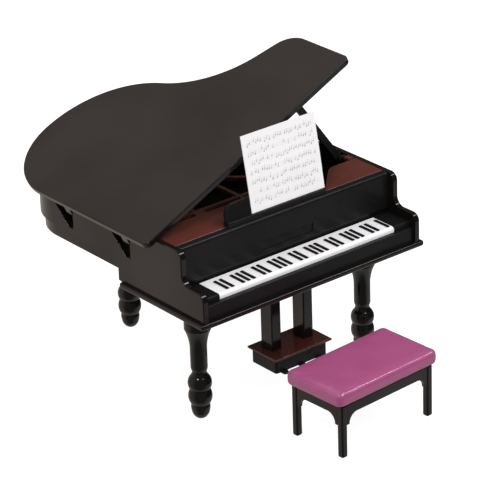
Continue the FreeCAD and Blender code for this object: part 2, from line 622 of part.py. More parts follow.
def prop_pin():
    reach = 0.5 * PROP_THICK + PROP_SIDE_GAP + EAR_THICK + PROP_PIN_PROUD
    return cylinder(PROP_X, PROP_Y - reach, PROP_Z, PROP_PIN_R, 2 * reach, V(0, 1, 0))


def prop_cup():
    """Block under the lid with the rounded seat that the prop's tip bears on."""
    tip = V(PROP_X, PROP_Y, PROP_Z) + prop_direction() * prop_length()
    closed = Part.Vertex(tip)
    closed.rotate(V(HINGE_X, 0, HINGE_Z), V(0, -1, 0), -LID_OPEN_DEG)
    seat_x, seat_z = closed.X, closed.Z
    low = CASE_TOP + LID_GAP - SOCKET_DROP - CUP_FLOOR
    top = CASE_TOP + LID_GAP
    corners = [(seat_x + CUP_LIP[0], seat_z + CUP_LIP[1]), (seat_x + CUP_FOOT[0], low),
               (seat_x + CUP_FOOT[1], low), (seat_x + CUP_ROOT[1], top), (seat_x + CUP_ROOT[0], top)]
    points = [V(x, PROP_Y - 0.5 * CUP_WIDE, z) for x, z in corners]
    block = prism(rounded_polygon(points, [0, CUP_EDGE_R, CUP_EDGE_R, 0, 0]), V(0, CUP_WIDE, 0))
    seat = cylinder(seat_x, PROP_Y - CUP_WIDE, seat_z, 0.5 * PROP_WIDE + FIT_GAP, 2 * CUP_WIDE, V(0, 1, 0))
    return opened(cut_all(block, [seat]))


# ---------------------------------------------------------------- music desk

def leaned(shape, y, z):
    copy = shape.copy()
    copy.rotate(V(0, y, z), V(1, 0, 0), -DESK_LEAN_DEG)
    return copy


def desk_ledge():
    """Ledge at the foot of the music desk, standing on the front of the deck."""
    top = HARP_TOP + LEDGE_TALL
    ledge = box(DESK_LEFT, DESK_RIGHT, DESK_FRONT, DESK_FRONT + LEDGE_DEEP, HARP_TOP, top)
    front = straight_edges(ledge, lambda e: e.Length > 40 and e.BoundBox.YMax < DESK_FRONT + 0.01
                           and at_height(e, top))
    return ledge.makeFillet(LEDGE_EDGE_R, front)


def desk_panel():
    """Low board with round shoulders and a gently arched top, leaning back from the ledge."""
    foot_z = HARP_TOP + LEDGE_TALL
    y0 = DESK_FRONT + PANEL_BEHIND
    middle = 0.5 * (DESK_LEFT + DESK_RIGHT)
    shoulder = DESK_TOP - DESK_SHOULDER
    corners = [V(DESK_LEFT, y0, foot_z), V(DESK_RIGHT, y0, foot_z),
               V(DESK_RIGHT, y0, shoulder), V(middle, y0, DESK_TOP), V(DESK_LEFT, y0, shoulder)]
    radii = [0, 0, DESK_SHOULDER_R, DESK_TOP_R, DESK_SHOULDER_R]
    panel = prism(rounded_polygon(corners, radii), V(0, DESK_THICK, 0))
    front = straight_edges(panel, lambda e: e.BoundBox.YMax < y0 + 0.01 and e.BoundBox.ZMax > foot_z + 0.5)
    panel = panel.makeFillet(DESK_EDGE_R, front)
    below = box(-60, 60, 0, 60, foot_z - 5, foot_z)
    foot = box(DESK_LEFT, DESK_RIGHT, y0, y0 + DESK_THICK - SEAM, foot_z, foot_z + DESK_FOOT)
    return fuse_all([leaned(panel, y0, foot_z).cut(below), foot])


def music_sheet():
    """A card leaning on the desk, its upper half bent back by a crease."""
    foot_y = DESK_FRONT + PANEL_BEHIND - SHEET_THICK - 0.12
    foot_z = HARP_TOP + LEDGE_TALL + 0.1
    right = SHEET_LEFT + SHEET_WIDE
    crease = 0.5 * SHEET_TALL
    lower = box(SHEET_LEFT, right, foot_y, foot_y + SHEET_THICK, foot_z, foot_z + crease)
    upper = box(SHEET_LEFT, right, foot_y, foot_y + SHEET_THICK, foot_z + crease, foot_z + SHEET_TALL)
    upper.rotate(V(0, foot_y, foot_z + crease), V(1, 0, 0), -CREASE_DEG)
    return leaned(fuse_all([lower, upper]), foot_y, foot_z)


# ---------------------------------------------------------------- legs and lyre

def leg(top):
    """Turned leg: domed foot, two rings, plain shaft and a flared cap; top is its shoulder height."""
    shaft, cap = LEG_SHAFT_R, LEG_CAP_R
    profile = [(0.0, 0.0), (FOOT_FLAT_R, 0.0), (3.15, 1.3, 3.9, 3.6), (4.1, 5.0, 3.85, 6.4),
               (5.1, 10.0, 4.2, 13.2), (5.1, 16.2, 4.0, 19.2), (3.3, 20.3, 3.1, 21.6),
               (3.35, 22.2, shaft, 23.4), (shaft, 32.8), (4.2, 36.9, cap, 41.2),
               (cap, top), (SPIGOT_R, top), (SPIGOT_R, top + SPIGOT_LEN), (0.0, top + SPIGOT_LEN)]
    return turned(profile)


def lyre_tenon(x, gap):
    middle = 0.5 * (LYRE_FRONT + LYRE_BACK)
    half_x, half_y = TENON_HALF_X + gap, TENON_HALF_Y + gap
    return box(x - half_x, x + half_x, middle - half_y, middle + half_y,
               BED_BOTTOM - 0.5, BED_BOTTOM + TENON_LEN + gap)


def lyre_post(x):
    post = box(x - 0.5 * LYRE_WIDE, x + 0.5 * LYRE_WIDE, LYRE_FRONT, LYRE_BACK, PEDAL_PLATE[4], BED_BOTTOM)
    uprights = straight_edges(post, lambda e: e.Length > 20)
    return fuse_all([post.makeFillet(LYRE_EDGE_R, uprights), lyre_tenon(x, 0.0)])


def pedal_plate():
    half, front, back, low, top = PEDAL_PLATE
    plate = box(-half, half, front, back, low, top)
    return plate.makeFillet(PLATE_EDGE_R, straight_edges(plate, lambda e: at_height(e, top)))


def pedal_box():
    half, front, back, low = PEDAL_BOX
    block = box(-half, half, front, back, low, PEDAL_PLATE[3])
    uprights = straight_edges(block, lambda e: abs(e.Vertexes[0].Z - e.Vertexes[1].Z) > 1)
    block = block.makeFillet(BOX_CORNER_R, uprights)
    slots = [pedal_blank(x, front - 1.0, PEDAL_ROOM) for x in PEDAL_X]
    return cut_all(block, slots)


def pedal_blank(x, front, extra_height):
    """Straight bar let into the lower front edge of the box."""
    low = PEDAL_BOX[3] - PEDAL_BELOW
    return box(x - PEDAL_HALF, x + PEDAL_HALF, front, PEDAL_BOX[1] + PEDAL_IN,
               low, low + PEDAL_THICK + extra_height)


def pedal(x):
    """Short lever with a rounded tip, let into the front of the box."""
    lever = pedal_blank(x, PEDAL_BOX[1] - PEDAL_OUT, 0.0)
    tips = straight_edges(lever, lambda e: abs(e.Vertexes[0].Z - e.Vertexes[1].Z) > 0.5
                          and e.BoundBox.YMax < PEDAL_BOX[1])
    return lever.makeFillet(PEDAL_TIP_R, tips)


# ---------------------------------------------------------------- bench

def placed_bench(shape):
    copy = shape.copy()
    copy.rotate(V(0, 0, 0), V(0, 0, 1), BENCH_TURN_DEG)
    copy.translate(V(BENCH_X, BENCH_Y, 0))
    return copy


def bench_legs():
    legs = []
    for sx in (-1, 1):
        for sy in (-1, 1):
            x = sx * (BENCH_HALF_X - 0.5 * BENCH_LEG)
            y = sy * (BENCH_HALF_Y - 0.5 * BENCH_LEG)
            post = box(x - 0.5 * BENCH_LEG, x + 0.5 * BENCH_LEG, y - 0.5 * BENCH_LEG, y + 0.5 * BENCH_LEG,
                       0.0, BENCH_TOP)
            rounded = straight_edges(post, lambda e: not at_height(e, BENCH_TOP))
            legs.append(placed_bench(post.makeFillet(LEG_END_R, rounded)))
    return Part.makeCompound(legs)


def arched_rail(length, thickness):
    """Rail along X from x = 0, its lower edge dropping by a curve and a step to each end."""
    step, riser, run = BRACKET_STEP, BRACKET_TIP + BRACKET_RISER, BRACKET_RUN
    rise = RAIL_EDGE - riser
    corners = [(0.0, BENCH_TOP), (0.0, BRACKET_TIP), (step, BRACKET_TIP), (step, riser)]
    edges = [Part.makeLine(V(0, 0, BENCH_TOP), V(length, 0, BENCH_TOP)),
             Part.makeLine(V(step + run, 0, RAIL_EDGE), V(length - step - run, 0, RAIL_EDGE))]
    for origin, way in ((0.0, 1.0), (length, -1.0)):
        points = [V(origin + way * x, 0, z) for x, z in corners]
        edges += [Part.makeLine(a, b) for a, b in zip(points, points[1:])]
        middle = points[-1] + V(way * run * (1 - math.sqrt(0.5)), 0, rise * math.sqrt(0.5))
        edges.append(Part.Arc(points[-1], middle, points[-1] + V(way * run, 0, rise)).toShape())
    return prism(edges, V(0, thickness, 0))


def bench_rails():
    long_len = 2 * (BENCH_HALF_X - BENCH_LEG)
    short_len = 2 * (BENCH_HALF_Y - BENCH_LEG)
    rails = []
    for sy in (-1, 1):
        rail = arched_rail(long_len, RAIL_THICK)
        y = BENCH_HALF_Y - RAIL_SETBACK - RAIL_THICK if sy > 0 else -BENCH_HALF_Y + RAIL_SETBACK
        rails.append(placed_bench(moved(rail, -0.5 * long_len, y)))
    for sx in (-1, 1):
        rail = arched_rail(short_len, RAIL_THICK)
        rail.rotate(V(0, 0, 0), V(0, 0, 1), 90)
        x = BENCH_HALF_X - RAIL_SETBACK if sx > 0 else -BENCH_HALF_X + RAIL_SETBACK + RAIL_THICK
        rails.append(placed_bench(moved(rail, x, -0.5 * short_len)))
    return Part.makeCompound(rails)


def bench_board():
    half_x, half_y = BENCH_HALF_X - BOARD_INSET, BENCH_HALF_Y - BOARD_INSET
    return placed_bench(box(-half_x, half_x, -half_y, half_y, BENCH_TOP, BENCH_TOP + BOARD_THICK))


def bench_cushion():
    """Stuffed top, drawn as a box with round corners and edges."""
    low = BENCH_TOP + BOARD_THICK
    high = CUSHION_TOP
    pad = box(-CUSHION_HALF_X, CUSHION_HALF_X, -CUSHION_HALF_Y, CUSHION_HALF_Y, low, high)
    uprights = straight_edges(pad, lambda e: abs(e.Vertexes[0].Z - e.Vertexes[1].Z) > 1)
    pad = pad.makeFillet(CUSHION_CORNER_R, uprights)
    pad = pad.makeFillet(CUSHION_TOP_R, straight_edges(pad, lambda e: at_height(e, high)))
    pad = pad.makeFillet(CUSHION_LOW_R, straight_edges(pad, lambda e: at_height(e, low)))
    return placed_bench(pad)


# ---------------------------------------------------------------- the set

def build():
    front_leg = leg(BED_BOTTOM)
    rear_leg = leg(PAN_BOTTOM + PANEL_SUNK)
    return {
        "case_body": case_body(),
        "key_bed": key_bed(),
        "key_frame": key_frame(),
        "bottom_pan": bottom_pan(),
        "soundboard": soundboard(),
        "case_screws": case_screws(),
        "harp_plate": harp_plate(),
        "fallboard": fallboard(),
        "key_slip": key_slip(),
        "key_block_left": key_block(-1),
        "key_block_right": key_block(1),
        "keyboard_block": keyboard_block(),
        "black_keys": black_keys(),
        "lid": lid(),
        "hinge_lugs": hinge_lugs(),
        "hinge_pins": hinge_pins(),
        "lid_prop": lid_prop(),
        "prop_bracket": prop_bracket(),
        "prop_pin": prop_pin(),
        "prop_cup": prop_cup(),
        "desk_ledge": desk_ledge(),
        "desk_panel": desk_panel(),
        "music_sheet": music_sheet(),
        "leg_front_left": moved(front_leg, -FRONT_LEG_X, FRONT_LEG_Y),
        "leg_front_right": moved(front_leg, FRONT_LEG_X, FRONT_LEG_Y),
        "leg_rear": moved(rear_leg, REAR_LEG_X, REAR_LEG_Y),
        "lyre_post_left": lyre_post(-LYRE_X),
        "lyre_post_right": lyre_post(LYRE_X),
        "pedal_plate": pedal_plate(),
        "pedal_box": pedal_box(),
        "pedal_left": pedal(PEDAL_X[0]),
        "pedal_middle": pedal(PEDAL_X[1]),
        "pedal_right": pedal(PEDAL_X[2]),
        "bench_legs": bench_legs(),
        "bench_rails": bench_rails(),
        "bench_board": bench_board(),
        "bench_cushion": bench_cushion(),
    }


def main():
    shapes = build()
    extent = Part.makeCompound(list(shapes.values())).optimalBoundingBox()
    shift = V(-0.5 * (extent.XMin + extent.XMax), -0.5 * (extent.YMin + extent.YMax), -extent.ZMin)
    os.makedirs("parts", exist_ok=True)
    for name, shape in shapes.items():
        shape.translate(shift)
        shape.exportStep("parts/" + name + ".step")
        print("%-16s %2d solid(s)  %9.1f mm3  valid %s"
              % (name, len(shape.Solids), shape.Volume, shape.isValid()))
    print("moved by (%.3f, %.3f, %.3f)" % (shift.x, shift.y, shift.z))
    print("size %.2f x %.2f x %.2f" % (extent.XLength, extent.YLength, extent.ZLength))
    print("prop length %.2f" % prop_length())


main()
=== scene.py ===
"""Looks for a dolls' house grand piano with its bench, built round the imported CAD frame."""

import json
import math

import bpy
from mathutils import Matrix, Vector


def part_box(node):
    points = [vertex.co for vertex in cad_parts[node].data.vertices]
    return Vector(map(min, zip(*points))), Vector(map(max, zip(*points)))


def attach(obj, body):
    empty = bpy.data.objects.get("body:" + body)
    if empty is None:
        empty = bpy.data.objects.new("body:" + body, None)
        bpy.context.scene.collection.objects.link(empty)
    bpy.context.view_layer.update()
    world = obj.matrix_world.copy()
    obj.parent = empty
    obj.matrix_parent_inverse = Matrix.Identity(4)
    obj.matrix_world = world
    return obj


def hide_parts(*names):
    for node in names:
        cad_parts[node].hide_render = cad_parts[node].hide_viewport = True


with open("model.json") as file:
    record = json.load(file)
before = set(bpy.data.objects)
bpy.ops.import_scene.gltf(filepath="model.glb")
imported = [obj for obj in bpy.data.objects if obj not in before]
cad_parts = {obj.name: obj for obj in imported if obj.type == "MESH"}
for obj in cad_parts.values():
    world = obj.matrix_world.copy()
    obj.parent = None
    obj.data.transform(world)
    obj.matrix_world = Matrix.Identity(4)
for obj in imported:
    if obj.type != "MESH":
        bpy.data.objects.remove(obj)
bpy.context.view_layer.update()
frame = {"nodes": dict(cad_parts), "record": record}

MM = 0.001

# ---- camera, relative to the middle of the key bed's front edge at floor level ----
CAMERA_AZIMUTH = -38.54
CAMERA_ELEVATION = 25.22
CAMERA_ROLL = -1.89
CAMERA_DISTANCE = 1.1832
CAMERA_ASIDE = -0.0290
CAMERA_ABOVE = 0.0633
CAMERA_LENS_MM = 203.2
CAMERA_SENSOR_MM = 36.0
CAMERA_CLIP = (0.05, 50.0)

# ---- colours, linear ----
BLACK = (0.0062, 0.0051, 0.0046)
FRONT_BLACK = (0.0085, 0.0080, 0.0082)
BROWN = (0.088, 0.0225, 0.0155)
# the harp's brown darkened as painted shade, for the pedal plate in the shade under the piano
PAINTED_SHADE_BROWN = (0.050, 0.0140, 0.0100)
IVORY = (0.83, 0.82, 0.84)
PAPER = (0.86, 0.85, 0.855)
INK = (0.20, 0.195, 0.20)
STEEL = (0.45, 0.45, 0.46)
SATIN = (0.335, 0.070, 0.185)
SATIN_SHEEN = (0.75, 0.35, 0.55)
MOTTLE = 0.12                           # share by which a plastic's colour wanders

# ---- print on the sheet ----
MUSIC_ROWS, MUSIC_COLUMNS = 7, 30
SHEET_MARGIN = 0.05                     # blank border, as a share of the sheet's width
PRINT_HALF = 0.499                      # half of the printed area, as a share of it
NOTE_R_MM = 0.34
NOTE_LOW, NOTE_HIGH = 0.26, 0.66        # a note's lowest and highest place, as shares of a row's height
EMPTY_SHARE = 0.22                      # share of the cells with no note
STEM_HALF_MM, STEM_REACH_MM = 0.09, 0.75
STAFF_LOW, STAFF_STEP = 0.30, 0.10      # as shares of a row's height
STAFF_HALF = 0.215                      # half height of a stave, as a share of a row's height
LINE_SHARE = 0.16                       # a line's thickness as a share of the step between lines
NOTE_INK, STAFF_INK = 0.75, 0.34

# ---- cushion ----
PAD_SCALE = 20.0           # the cloth is run at twenty times the pad's size
PAD_INSET = 0.00010
PAD_VOXEL = 0.0007
PAD_CAP = 0.00030          # farthest a point may move; nearly every free point reaches it
PAD_HELD = 0.25            # points less than this share of a voxel above the underside are held
PAD_FRAMES = 20
CLOTH = {
    "quality": 6,
    "mass": 0.3,
    "tension_stiffness": 25.0,
    "compression_stiffness": 25.0,
    "bending_stiffness": 1.5,
    "use_pressure": True,
    "uniform_pressure_force": 4.0,
}

# ---- light ----
# A fade over one part of a direction: where it starts and ends, and the strength at each end.
EVEN_BY_Z = (-0.6, 0.6, 0.35, 0.95)
TENT_BY_Y = (-0.25, 0.45, 0.13, 0.60)   # mirrored: bright behind the piano
TENT_BY_X = (0.15, 0.50, 1.0, 0.14)     # mirrored: dark to its right
TABLE_BY_Z = (-0.40, -0.20, 0.50, 0.0)  # mirrored: a white table below it
TABLE_BY_FACING = (0.30, 0.70, 1.0, 0.15)
WARM_BY_Y = (-0.2, 0.4, 0.0, 1.0)
VIEWER_SIDE = (-0.62, -0.78)            # the room the viewer stands in is dark
LIGHT_WHITE = (1.0, 0.99, 0.985)
LIGHT_WARM = (1.0, 0.86, 0.77)
LIGHT_TARGET = (0.0, 0.0, 0.05)
SOFTBOXES = {                           # place, size, power
    "front_strip": ((0.40, -0.56, 0.92), (0.9, 0.16), 5.0),
    "left_window": ((-0.74, -0.33, 0.92), (0.20, 0.20), 3.2),
}
FLOOR_HALF = 6.0
FLOOR_DROP = 0.00002                    # keeps the floor just below the feet
FLOOR_GREY = (0.30, 0.30, 0.30)
FLOOR_GLOW, FLOOR_SEEN = 0.15, 0.90     # what lights the piece, and what the camera sees


# ---------------------------------------------------------------- node helpers

def scaled(colour, share):
    return tuple(min(1.0, part * share) for part in colour)


class Nodes:
    """Small wrapper round a node tree that keeps node building readable."""

    def __init__(self, tree):
        self.tree = tree

    def add(self, kind, **settings):
        node = self.tree.nodes.new(kind)
        for key, value in settings.items():
            if key in node.inputs:
                node.inputs[key].default_value = value
            else:
                setattr(node, key, value)
        return node

    def link(self, source, target):
        self.tree.links.new(source, target)

    def feed(self, socket, value):
        """Links a socket, or sets a number or a colour without alpha."""
        if isinstance(value, bpy.types.NodeSocket):
            self.link(value, socket)
        elif isinstance(value, tuple):
            socket.default_value = value + (1.0,)
        else:
            socket.default_value = value

    def coords(self):
        return self.add("ShaderNodeTexCoord").outputs["Object"]

    def normal(self):
        return self.add("ShaderNodeNewGeometry").outputs["Normal"]

    def split(self, vector):
        node = self.add("ShaderNodeSeparateXYZ")
        self.link(vector, node.inputs[0])
        return node.outputs

    def noise(self, scale, detail=2.0, vector=None, roughness=0.5):
        node = self.add("ShaderNodeTexNoise", Scale=scale, Detail=detail, Roughness=roughness)
        self.link(vector if vector is not None else self.coords(), node.inputs["Vector"])
        return node.outputs["Fac"]

    def ramp(self, fac, low, high, a, b, kind="LINEAR"):
        """Maps fac from low..high to a..b, clamped."""
        node = self.add("ShaderNodeMapRange", clamp=True, interpolation_type=kind)
        for key, value in (("From Min", low), ("From Max", high), ("To Min", a), ("To Max", b)):
            node.inputs[key].default_value = value
        self.link(fac, node.inputs["Value"])
        return node.outputs["Result"]

    def mix(self, fac, a, b, kind="RGBA"):
        node = self.add("ShaderNodeMix", data_type=kind)
        sockets = [socket for socket in node.inputs if socket.enabled]
        for socket, value in zip(sockets, (fac, a, b)):
            self.feed(socket, value)
        return [socket for socket in node.outputs if socket.enabled][0]

    def math(self, operation, a, b=0.0, clamp=False):
        node = self.add("ShaderNodeMath", operation=operation, use_clamp=clamp)
        self.feed(node.inputs[0], a)
        self.feed(node.inputs[1], b)
        return node.outputs[0]

    def near(self, value, middle, reach):
        """1 where value is less than reach from the middle, else 0."""
        return self.math("LESS_THAN", self.math("ABSOLUTE", self.math("SUBTRACT", value, middle)), reach)

    def bump(self, height, distance, strength=1.0, normal=None):
        node = self.add("ShaderNodeBump", Strength=strength, Distance=distance)
        self.link(height, node.inputs["Height"])
        if normal is not None:
            self.link(normal, node.inputs["Normal"])
        return node.outputs["Normal"]

    def edges(self, radius):
        """(mask, normal): the mask is 1 on sharp edges and 0 on flats, from how far a bevelled
        normal leans off the true one; the normal is bevelled only where the mask says."""
        true_normal = self.normal()
        bevelled = self.add("ShaderNodeBevel", Radius=radius, samples=6).outputs["Normal"]
        dot = self.add("ShaderNodeVectorMath", operation="DOT_PRODUCT")
        self.link(bevelled, dot.inputs[0])
        self.link(true_normal, dot.inputs[1])
        mask = self.ramp(dot.outputs["Value"], 0.72, 0.93, 1.0, 0.0)
        near_edge = self.math("MULTIPLY", mask, 4.0, clamp=True)
        return mask, self.mix(near_edge, true_normal, bevelled, kind="VECTOR")


class Finish(Nodes):
    """The nodes of a new material."""

    def __init__(self, name):
        self.material = bpy.data.materials.new(name)
        self.material.use_nodes = True
        super().__init__(self.material.node_tree)
        self.shader = self.tree.nodes["Principled BSDF"].inputs

    def set(self, key, value):
        self.feed(self.shader[key], value)


# ---------------------------------------------------------------- materials

def moulded_plastic(name, colour, gloss, shine=0.5, clouds=0.0, peel=0.000012):
    """Glossy injection-moulded plastic: faint mottling, hazy patches, orange peel, and edges that are
    lighter and rougher in specks, partly as wear and partly as a painted edge highlight.
    clouds is the share of the shine that the haze takes away where it is thickest."""
    n = Finish(name)
    speck = n.noise(900.0, 2.0)
    wander = n.ramp(n.noise(45.0, 3.0), 0.35, 0.65, 0.0, 1.0)
    body = n.mix(wander, scaled(colour, 1.0 - MOTTLE), scaled(colour, 1.0 + MOTTLE))
    # edges lightened in specks: partly wear, partly a painted highlight along the edges
    edge_wear_and_highlight = tuple(min(1.0, part * 1.6 + 0.012) for part in colour)
    edge, soft_normal = n.edges(0.0003)
    rubbed_and_highlit = n.math("MULTIPLY", edge, n.ramp(speck, 0.45, 0.7, 0.0, 0.5))
    rough = n.ramp(n.noise(120.0, 2.0), 0.3, 0.7, gloss * 0.85, gloss * 1.2)
    haze = n.noise(19.0, 2.5, roughness=0.45)
    n.set("Base Color", n.mix(rubbed_and_highlit, body, edge_wear_and_highlight))
    n.set("Roughness", n.math("ADD", rough, n.math("MULTIPLY", rubbed_and_highlit, 0.2)))
    n.set("Specular IOR Level", n.ramp(haze, 0.36, 0.60, shine * (1.0 - clouds), shine))
    n.set("Normal", n.bump(n.noise(220.0, 1.0), peel, 0.3, soft_normal))
    return n.material


def key_plastic():
    """White gloss plastic with a faint trace of grime."""
    n = Finish("key_white_gloss")
    grime = n.ramp(n.noise(70.0, 4.0), 0.45, 0.75, 0.0, 0.35)
    n.set("Base Color", n.mix(grime, IVORY, scaled(IVORY, 0.93)))
    n.set("Roughness", n.ramp(n.noise(300.0, 3.0), 0.3, 0.7, 0.16, 0.3))
    n.set("Subsurface Weight", 0.12)
    n.shader["Subsurface Radius"].default_value = (0.0012, 0.001, 0.0008)
    n.set("Normal", n.bump(n.noise(500.0, 2.0), 0.00001, 0.4, n.edges(0.0002)[1]))
    return n.material


def steel():
    """Bright drawn steel with fine scratches along y."""
    n = Finish("bright_steel_wire")
    stretch = n.add("ShaderNodeMapping")
    stretch.inputs["Scale"].default_value = (1.0, 0.05, 1.0)
    n.link(n.coords(), stretch.inputs["Vector"])
    scratch = n.noise(4000.0, 3.0, stretch.outputs["Vector"])
    n.set("Base Color", n.mix(scratch, STEEL, scaled(STEEL, 0.7)))
    n.set("Metallic", 1.0)
    n.set("Roughness", n.ramp(scratch, 0.3, 0.7, 0.22, 0.42))
    n.set("Normal", n.bump(scratch, 0.00001, 0.5))
    return n.material


def note_marks(n, columns, rows, row_part, cell_wide_mm, cell_tall_mm):
    """1 on a note's head or stem: one note to a cell, at a height taken from the cell's own number."""
    cell = n.add("ShaderNodeCombineXYZ")
    n.link(n.math("FLOOR", columns), cell.inputs[0])
    n.link(n.math("FLOOR", rows), cell.inputs[1])
    dice = n.add("ShaderNodeTexWhiteNoise", noise_dimensions="2D")
    n.link(cell.outputs[0], dice.inputs["Vector"])
    rolls = n.split(dice.outputs["Color"])
    height = n.ramp(rolls[0], 0.0, 1.0, NOTE_LOW, NOTE_HIGH)
    across = n.math("MULTIPLY", n.math("SUBTRACT", n.math("FRACT", columns), 0.5), cell_wide_mm)
    above = n.math("MULTIPLY", n.math("SUBTRACT", row_part, height), cell_tall_mm)
    squares = n.math("ADD", n.math("MULTIPLY", across, across), n.math("MULTIPLY", above, above))
    head = n.math("LESS_THAN", n.math("SQRT", squares), NOTE_R_MM)
    stem = n.math("MULTIPLY", n.near(across, 0.8 * NOTE_R_MM, STEM_HALF_MM),
                  n.near(above, STEM_REACH_MM, STEM_REACH_MM))
    return n.math("MULTIPLY", n.math("MAXIMUM", head, stem), n.math("GREATER_THAN", rolls[1], EMPTY_SHARE))


def staff_lines(n, row_part):
    """1 on the five lines of a row's stave."""
    line = n.math("FRACT", n.math("DIVIDE", n.math("SUBTRACT", row_part, STAFF_LOW), STAFF_STEP))
    return n.math("MULTIPLY", n.math("LESS_THAN", line, LINE_SHARE), n.near(row_part, 0.5, STAFF_HALF))


def printed_card():
    """Smooth white card with rows of made-up notes on faint five-line staves on its front."""
    n = Finish("printed_card")
    low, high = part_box("music_sheet")
    place = n.split(n.coords())
    margin = SHEET_MARGIN * (high.x - low.x)
    across = n.ramp(place[0], low.x + margin, high.x - margin, 0.0, 1.0)
    upward = n.ramp(place[2], low.z + margin, high.z - margin, 0.0, 1.0)
    columns = n.math("MULTIPLY", across, MUSIC_COLUMNS - 0.001)
    rows = n.math("MULTIPLY", upward, MUSIC_ROWS - 0.001)
    row_part = n.math("FRACT", rows)
    notes = note_marks(n, columns, rows, row_part,
                       (high.x - low.x - 2 * margin) / MM / MUSIC_COLUMNS,
                       (high.z - low.z - 2 * margin) / MM / MUSIC_ROWS)
    print_mask = n.math("MAXIMUM", n.math("MULTIPLY", notes, NOTE_INK),
                        n.math("MULTIPLY", staff_lines(n, row_part), STAFF_INK))
    printed = n.math("MULTIPLY", n.near(across, 0.5, PRINT_HALF), n.near(upward, 0.5, PRINT_HALF))
    front = n.math("MULTIPLY", n.math("LESS_THAN", n.split(n.normal())[1], -0.5), printed)
    uneven = n.ramp(n.noise(700.0, 2.0), 0.3, 0.6, 0.45, 1.0)
    ink = n.math("MULTIPLY", n.math("MULTIPLY", print_mask, front), uneven)
    paper = n.mix(n.ramp(n.noise(60.0, 3.0), 0.35, 0.7, 0.0, 0.6), PAPER, scaled(PAPER, 0.95))
    n.set("Base Color", n.mix(ink, paper, INK))
    n.set("Roughness", n.ramp(n.noise(250.0, 2.0), 0.3, 0.7, 0.42, 0.6))
    n.set("Subsurface Weight", 0.05)
    n.shader["Subsurface Radius"].default_value = (0.0006, 0.0006, 0.0006)
    n.set("Normal", n.bump(n.noise(1500.0, 3.0), 0.00001, 0.5))
    return n.material


def satin():
    """Tightly woven pink satin: threads both ways, slight rumples and a soft sheen."""
    n = Finish("pink_satin_cloth")
    place = n.coords()
    threads = []
    for direction in ("X", "Y"):
        wave = n.add("ShaderNodeTexWave", wave_type="BANDS", bands_direction=direction, Scale=750.0,
                     Distortion=0.3, Detail=0.0)
        n.link(place, wave.inputs["Vector"])
        threads.append(wave.outputs["Fac"])
    weave = n.math("MULTIPLY", threads[0], threads[1])
    rumple = n.noise(90.0, 1.5)
    deep = scaled(SATIN, 0.94)
    body = n.mix(n.ramp(rumple, 0.3, 0.7, 0.0, 1.0), deep, scaled(SATIN, 1.06))
    n.set("Base Color", n.mix(n.math("MULTIPLY", weave, 0.25), body, deep))
    n.set("Roughness", n.ramp(n.noise(60.0, 1.0), 0.3, 0.7, 0.22, 0.28))
    n.set("Specular IOR Level", 0.85)
    n.set("Sheen Weight", 0.12)
    n.set("Sheen Roughness", 0.35)
    n.set("Sheen Tint", SATIN_SHEEN)
    n.set("Anisotropic", 0.3)
    n.set("Normal", n.bump(weave, 0.000006, 0.3, n.bump(rumple, 0.00006, 0.15)))
    return n.material


MATERIALS = {
    "black_gloss": moulded_plastic("black_gloss_plastic", BLACK, 0.12, clouds=0.30),
    "harp_brown": moulded_plastic("harp_brown_plastic", BROWN, 0.24, shine=0.35, peel=0.00002),
    "key_white": key_plastic(),
    "bright_steel": steel(),
    "sheet_card": printed_card(),
    "pink_satin": satin(),
}

# Pieces of the same plastics with another face than the case and the harp; the pedal plate's
# darker brown is painted shade, standing in for the shade that falls under the piano.
FRONT_FINISH = moulded_plastic("black_satin_plastic", FRONT_BLACK, 0.30, shine=0.20, clouds=0.3)
PAINTED_SHADE_PLATE_FINISH = moulded_plastic("lyre_brown_plastic_painted_shade", PAINTED_SHADE_BROWN, 0.16, peel=0.00002)
FRONT_NODES = ("fallboard", "key_slip", "key_block_left", "key_block_right", "black_keys", "key_frame",
               "desk_ledge", "desk_panel", "lid_prop", "pedal_box", "pedal_left", "pedal_middle",
               "pedal_right")
OWN_FINISH = {name: FRONT_FINISH for name in FRONT_NODES}
OWN_FINISH["pedal_plate"] = PAINTED_SHADE_PLATE_FINISH


def dress_cad_nodes():
    slots = {entry["node"]: entry["material_slot"] for entry in frame["record"]["subparts"]}
    for name, obj in frame["nodes"].items():
        finish = OWN_FINISH.get(name, MATERIALS[slots[name]])
        obj.data.materials.clear()
        obj.data.materials.append(finish)


# ---------------------------------------------------------------- cushion

def add_object(name, data):
    obj = bpy.data.objects.new(name, data)
    bpy.context.scene.collection.objects.link(obj)
    return obj


def fill_box(mesh, low, high):
    """Stretches a mesh along each axis so that it exactly fills a box."""
    spans = []
    for axis in range(3):
        values = [vertex.co[axis] for vertex in mesh.vertices]
        spans.append((min(values), max(values)))
    for vertex in mesh.vertices:
        shares = [(vertex.co[axis] - start) / (end - start) for axis, (start, end) in enumerate(spans)]
        vertex.co = Vector([low[axis] + shares[axis] * (high[axis] - low[axis]) for axis in range(3)])


def evaluated_copy(obj, name):
    """A plain mesh of an object with its modifiers applied."""
    depsgraph = bpy.context.evaluated_depsgraph_get()
    depsgraph.update()
    mesh = bpy.data.meshes.new_from_object(obj.evaluated_get(depsgraph))
    mesh.name = name
    return mesh


def pad_blank(source):
    """An evenly meshed pad, a little smaller than the CAD cushion, blown up about its middle."""
    mesh = source.data.copy()
    mesh.transform(source.matrix_world)
    low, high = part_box("bench_cushion")
    centre = (low + high) / 2
    shrink = [1.0 - 2.0 * PAD_INSET / (high[axis] - low[axis]) for axis in range(3)]
    for vertex in mesh.vertices:
        offset = vertex.co - centre
        vertex.co = Vector([offset[axis] * shrink[axis] * PAD_SCALE for axis in range(3)])
    pad = add_object("cushion_blank", mesh)
    remesh = pad.modifiers.new("even", "REMESH")
    remesh.mode = "VOXEL"
    remesh.voxel_size = PAD_VOXEL * PAD_SCALE
    relax = pad.modifiers.new("relax", "SMOOTH")
    relax.factor, relax.iterations = 0.5, 1
    even = evaluated_copy(pad, "cushion_even")
    pad.modifiers.clear()
    pad.data = even
    return pad


